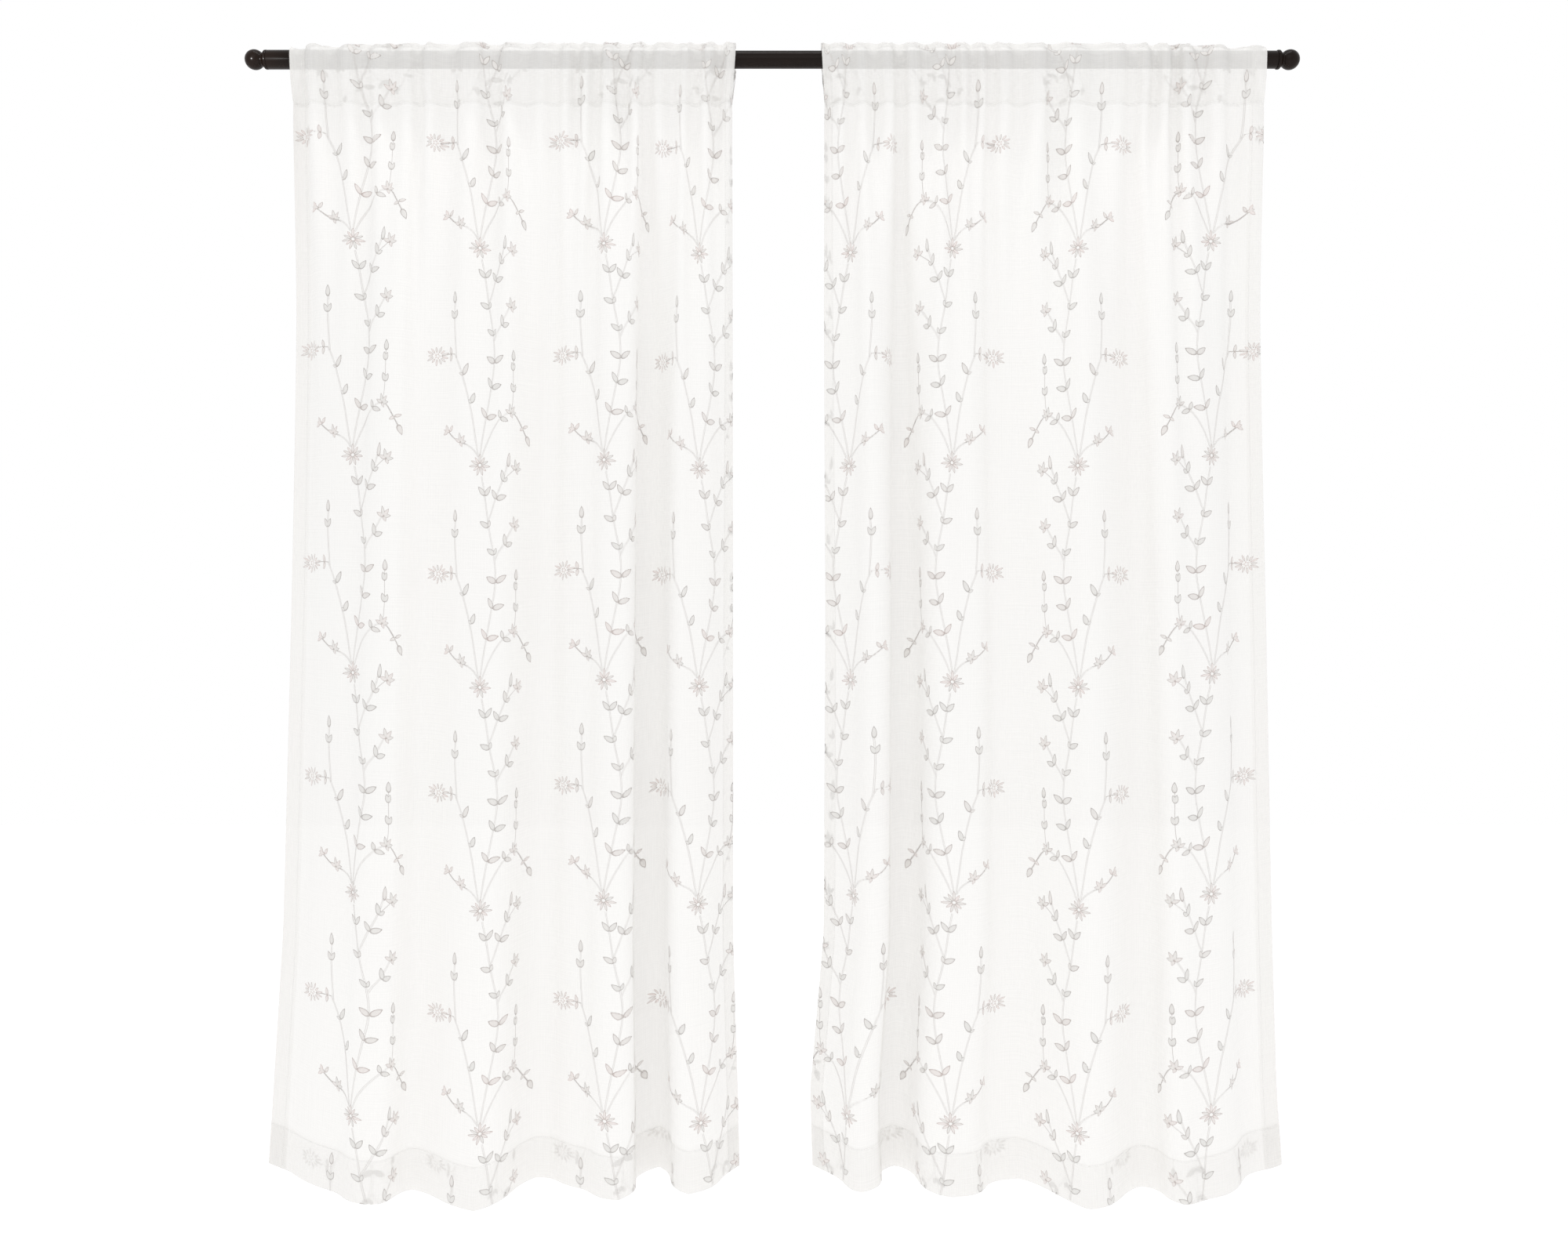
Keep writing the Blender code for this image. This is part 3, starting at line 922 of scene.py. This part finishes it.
def smoothPath(points, step):
    points = np.array(points, dtype=float)
    for _ in range(3):
        cut = np.empty((len(points) * 2 - 2, 2))
        cut[0::2] = points[:-1] * 0.75 + points[1:] * 0.25
        cut[1::2] = points[:-1] * 0.25 + points[1:] * 0.75
        points = np.concatenate([points[:1], cut, points[-1:]])
    run = np.concatenate([[0.0], np.cumsum(np.linalg.norm(np.diff(points, axis=0), axis=1))])
    count = max(2, int(round(run[-1] / step)) + 1)
    marks = np.linspace(0, run[-1], count)
    return np.stack([np.interp(marks, run, points[:, 0]), np.interp(marks, run, points[:, 1])], 1), marks


def embroider(name, surface, panel, shape, finish):
    corners, shapeFaces = shape
    shapes = np.array(vineShapes())
    mirror = panel["mirror"]
    mm = 0.001
    points, faces, lays, tones, rims = [], [], [], [], []
    total = 0
    lowest, highest = surface.across[0] + vine["sideMargin"], surface.across[-1] - vine["sideMargin"]
    bottomEnd, topEnd = surface.along[0] - vine["endMargin"], surface.along[-1] + vine["endMargin"]

    def keep(across, along, height, shapeFace, lay, tone, rim):
        nonlocal total
        if across.min() < lowest or across.max() > highest:
            return
        if along.max() > bottomEnd or along.min() < topEnd:
            return
        points.append(surface.lay(across, along, height))
        faces.extend(tuple(corner + total for corner in face) for face in shapeFace)
        lays.append(lay)
        tones.append(np.full(len(across), tone))
        rims.append(rim)
        total += len(across)

    stems = []
    for width, doubled, path in vine["stems"]:
        line, marks = smoothPath(path, vine["stemStep"])
        side = np.gradient(line, axis=0)
        side = np.stack([-side[:, 1], side[:, 0]], 1) / np.linalg.norm(side, axis=1, keepdims=True)
        shifts = (-vine["stemShift"], vine["stemShift"]) if doubled else (0.0,)
        thick = width if doubled else width * vine["singleWidening"]
        dark = vine["doubledDark"] if doubled else vine["singleDark"]
        for shift in shifts:
            strip = np.concatenate([line + side * (shift + thick * part) for part in (-0.5, 0.0, 0.5)])
            stems.append((strip, marks, dark))
    outline = np.where(corners[:, 2] < 0.1, 1.0, 0.0)
    leafFaces = shapeFaces if mirror > 0 else [face[::-1] for face in shapeFaces]
    share = corners[:, 0]
    taper = vine["leafWidening"] * np.clip(1 - share, 0.0, 1.0) ** vine["point"]
    leafHeight = threadLift + corners[:, 2] * vine["height"]
    for (stemLine, spread, widen), lift in zip(findVines(surface, panel), panel["vineLift"]):
        for number in range(-vine["repeatsUp"], vine["repeatsDown"]):
            starZ = vine["starHeight"] + lift - number * vine["repeat"] * mm
            along0 = cloth["seamZ"] - starZ
            for footX, footY, direction, length, width, fullness, tone in shapes:
                turn = math.radians(direction)
                localX = share * length
                localY = corners[:, 1] * width * taper * (1 + fullness * (share - 0.5) * 2)
                x = localX * math.cos(turn) - localY * math.sin(turn)
                y = footY + localX * math.sin(turn) + localY * math.cos(turn)
                along = along0 - y * mm
                foot = footX * mirror * mm
                varied = tone + vine["toneSpread"] * math.sin(number * 2.9 + footX + footY)
                keep(stemLine(along) + spread(foot) + x * mirror * mm * widen(foot), along,
                     leafHeight, leafFaces, np.stack([localX * mm, corners[:, 1]], 1),
                     min(1.0, max(0.0, varied)), outline)
            for strip, marks, dark in stems:
                wholeAlong = along0 - strip[:, 1] * mm
                wholeAcross = stemLine(wholeAlong) + spread(strip[:, 0] * mirror * mm)
                inside = (wholeAcross > lowest) & (wholeAcross < highest)
                inside &= (wholeAlong > topEnd) & (wholeAlong < bottomEnd)
                kept = np.flatnonzero(inside.reshape(3, -1).all(axis=0))
                if len(kept) < 2:
                    continue
                kept = np.arange(kept[0], kept[-1] + 1)
                count = len(kept)
                strip = strip.reshape(3, -1, 2)[:, kept].reshape(-1, 2)
                run = np.tile(marks[kept], 3) * mm
                ribbon = []
                for band in range(2):
                    for step in range(count - 1):
                        a = band * count + step
                        face = (a, a + 1, a + 1 + count, a + count)
                        ribbon.append(face if mirror > 0 else face[::-1])
                ridge = vine["height"] * vine["stemHeight"]
                heights = np.repeat([threadLift, ridge, threadLift], count)
                lay = np.stack([run, np.repeat([-0.4, 0.0, 0.4], count)], 1)
                along = along0 - strip[:, 1] * mm
                keep(stemLine(along) + spread(strip[:, 0] * mirror * mm), along,
                     heights, ribbon, lay, vine["stemTone"], np.full(len(along), dark))
    return joinedPiece(name, np.concatenate(points), faces, np.concatenate(lays),
                       np.concatenate(tones), np.concatenate(rims), finish)


hanging = {
    "top": 0.05,
    "bottom": 1.9,
    "smoothed": 13,
    "leastSlope": 0.5,
    "mostWidening": 1.25,
    "sought": 14,
    "pastEdge": 0.2,
}


def findVines(surface, panel):
    # where each vine lies across the cut, so that it is seen to hang straight
    top, bottom = hanging["top"], hanging["bottom"]
    rows = [row for row in range(len(surface.along)) if top < surface.along[row] < bottom]
    seen = surface.points[rows]
    along = surface.along[rows]
    eyeX, eyeY = view["place"][0], view["place"][1]
    apparent = eyeX + (seen[..., 0] - eyeX) * -eyeY / (seen[..., 1] - eyeY)
    count = cloth["sideHemColumns"]
    apparent = apparent[:, count:-count]
    across = surface.across[count:-count]
    # and how much wider it is sewn where the folds turn the cloth away
    slope = np.gradient(apparent.mean(axis=0), across)
    span = hanging["smoothed"]
    slope = np.convolve(np.pad(slope, span // 2, mode="edge"), np.ones(span) / span, mode="valid")
    slope = np.clip(slope, hanging["leastSlope"], 1.0)
    reach = np.concatenate([[0.0], np.cumsum((slope[1:] + slope[:-1]) / 2 * np.diff(across))])
    past = hanging["pastEdge"]
    reach = np.concatenate([[reach[0] - past], reach, [reach[-1] + past]])
    wide = np.concatenate([[across[0] - past], across, [across[-1] + past]])
    lines = []
    for x in panel["vines"]:
        middle = np.abs(apparent - x).mean(axis=0).argmin()
        window = slice(max(0, middle - hanging["sought"]), middle + hanging["sought"] + 1)
        found = [across[window][np.abs(row[window] - x).argmin()] for row in apparent]
        bend = np.polyfit(along, found, 2)
        here = (across[middle], reach[middle + 1])

        def stemLine(run, bend=bend):
            return np.polyval(bend, np.clip(run, top, bottom))

        def spread(x, here=here):
            return np.interp(here[1] + x, reach, wide) - here[0]

        def widen(x, here=here):
            return min(hanging["mostWidening"], 1 / float(np.interp(here[0] + spread(x), across, slope)))

        lines.append((stemLine, spread, widen))
    return lines


def sew(name, surface, frillRow, dash, finish):
    corners, dashFaces = dash
    wide = gathers["cutWidth"]
    inset, end = sewing["seamInset"], sewing["endGap"]
    bottomFold = surface.along[hemRows]
    hemLine = bottomFold - cloth["hemTurn"] + sewing["hemRise"]
    marks = np.arange(end, wide - end, sewing["pitch"])
    places = [(u, s, 0.0) for s in (0.0, sewing["backRow"], frillRow, hemLine) for u in marks]
    down = np.arange(frillRow - sewing["frillGap"], bottomFold - end, sewing["pitch"])
    places += [(u, s, math.pi / 2) for u in (inset, wide - inset) for s in down]
    places = np.array(places)
    turnCos, turnSin = np.cos(places[:, 2:3]), np.sin(places[:, 2:3])
    localX = corners[None, :, 0] * sewing["length"]
    localY = corners[None, :, 1] * sewing["width"]
    across = places[:, 0:1] + localX * turnCos - localY * turnSin
    along = places[:, 1:2] - localX * turnSin - localY * turnCos
    height = np.broadcast_to(threadLift + corners[None, :, 2] * sewing["height"], across.shape)
    points = surface.lay(across, along, height).reshape(-1, 3)
    size = len(corners)
    faces = [tuple(corner + size * number for corner in face)
             for number in range(len(places)) for face in dashFaces]
    lay = np.stack([np.broadcast_to(localX, across.shape).ravel(),
                    np.broadcast_to(localY, across.shape).ravel()], 1)
    plain = np.zeros(len(points))
    return joinedPiece(name, points, faces, lay, plain, plain, finish)


bronze = rodFinish()
rodWide = makeTube("rodWide", rod["wideRadius"], -rod["half"], rod["wideEnd"], bronze)
rodNarrow = makeTube("rodNarrow", rod["narrowRadius"], rod["narrowStart"], rod["half"], bronze)
finialLeft = makeFinial("finialLeft", -1, rod["wideRadius"] - rod["spigotGap"], bronze)
finialRight = makeFinial("finialRight", 1, rod["narrowRadius"] - rod["spigotGap"], bronze)
for piece, node in ((rodWide, "rod_wide"), (rodNarrow, "rod_narrow"),
                    (finialLeft, "finial_left"), (finialRight, "finial_right")):
    stitchIn(piece, node)
print("rod and finials made")

whiteVoile = voileFinish()
embroideryThread = threadFinish()
sewingThread = sewingFinish()
satinShape = stitchedShape()
dash = dashShape()
for side, panel in panels.items():
    points, seamRow, under = hangCloth(panel)
    steps = np.linalg.norm(np.diff(points, axis=0), axis=2).mean(axis=1)
    run = np.concatenate([[0.0], np.cumsum(steps)])
    along = run[seamRow] - run
    phase = np.linspace(0, gathers["ruffles"], points.shape[1])
    across = columnShares(phase, panel["lag"]) * gathers["cutWidth"]
    points, across, turned = turnSides(points, across)
    under = np.maximum(under[:, None], turned[None, :])
    curtain = makeSheet("curtain" + side, points, across, along, under, whiteVoile)
    surface = Surface(points, across, along)
    frillRow = along[seamRow + pocketRows]
    print("curtain", side, "hung,", len(along), "rows, stitched above the rod at",
          round(float(frillRow), 4), "bottom fold at", round(float(along[hemRows]), 4))
    embroidery = embroider("embroidery" + side, surface, panel, satinShape, embroideryThread)
    stitching = sew("stitching" + side, surface, frillRow, dash, sewingThread)
    for piece in (curtain, embroidery, stitching):
        stitchIn(piece, "panel_" + side.lower())
    print("curtain", side, "embroidered and sewn,", len(embroidery.data.polygons), "faces")

# lamps: place, power in watts, size
studio = {
    "background": 1.0,
    "ambient": 0.810,
    "floorZ": -2.35,
    "floorSize": 14,
    "floorTone": 0.93,
    "floorGlow": 0.30,
    "key": ((-0.9, -4.3, 1.3), 17.0, 3.0),
    "fill": ((2.6, -2.2, -0.4), 2.0, 2.0),
    "aim": (0.0, 0.0, -1.0),
    "glint": ((-2.12, -3.35, -0.42), 600.0, 0.02),
    "glintAim": (-0.945, 0.0, 0.0),
    "glintDegrees": 1.9,
    "glintBlend": 0.3,
    "rodLight": ((0, -0.40, 1.6), 10.0, (2.4, 0.14)),
    "rodLightTilt": 14,
}


def lightStudio():
    world = bpy.data.worlds.new("studio")
    bpy.context.scene.world = world
    world.use_nodes = True
    tree = world.node_tree
    ambient = tree.nodes["Background"]
    ambient.inputs["Color"].default_value = (1, 1, 1, 1)
    ambient.inputs["Strength"].default_value = studio["ambient"]
    backdrop = tree.nodes.new("ShaderNodeBackground")
    backdrop.inputs["Color"].default_value = (1, 1, 1, 1)
    backdrop.inputs["Strength"].default_value = studio["background"]
    seen = tree.nodes.new("ShaderNodeLightPath")
    chooser = tree.nodes.new("ShaderNodeMixShader")
    tree.links.new(seen.outputs["Is Camera Ray"], chooser.inputs[0])
    tree.links.new(ambient.outputs[0], chooser.inputs[1])
    tree.links.new(backdrop.outputs[0], chooser.inputs[2])
    tree.links.new(chooser.outputs[0], tree.nodes["World Output"].inputs["Surface"])
    for name in ("key", "fill", "glint", "rodLight"):
        place, power, size = studio[name]
        bpy.ops.object.light_add(type="SPOT" if name == "glint" else "AREA", location=place)
        lamp = bpy.context.object
        lamp.name = name
        lamp.data.energy = power
        if name == "rodLight":
            lamp.data.shape = "RECTANGLE"
            lamp.data.size, lamp.data.size_y = size
            lamp.rotation_euler = (math.radians(studio["rodLightTilt"]), 0, 0)
            continue
        if name == "glint":
            # a narrow beam on the rod's left end alone
            lamp.data.shadow_soft_size = size
            lamp.data.spot_size = math.radians(studio["glintDegrees"])
            lamp.data.spot_blend = studio["glintBlend"]
            aim = np.array(studio["glintAim"]) - np.array(place)
        else:
            lamp.data.size = size
            aim = np.array(studio["aim"]) - np.array(place)
        lamp.rotation_euler = (math.acos(-aim[2] / np.linalg.norm(aim)), 0,
                               math.atan2(aim[1], aim[0]) - math.pi / 2)
    pickNone()
    bpy.ops.mesh.primitive_plane_add(size=studio["floorSize"], location=(0, 0, studio["floorZ"]))
    floor = bpy.context.object
    floorPaint, _, _ = newFinish("paleFloor", {
        "Base Color": (*[studio["floorTone"]] * 3, 1), "Roughness": 1.0, "Specular IOR Level": 0.0,
        "Emission Color": (1, 1, 1, 1), "Emission Strength": studio["floorGlow"]})
    settle(floor, "floor", floorPaint)
    bpy.context.scene.view_settings.view_transform = "Standard"


lightStudio()
print("studio lit")
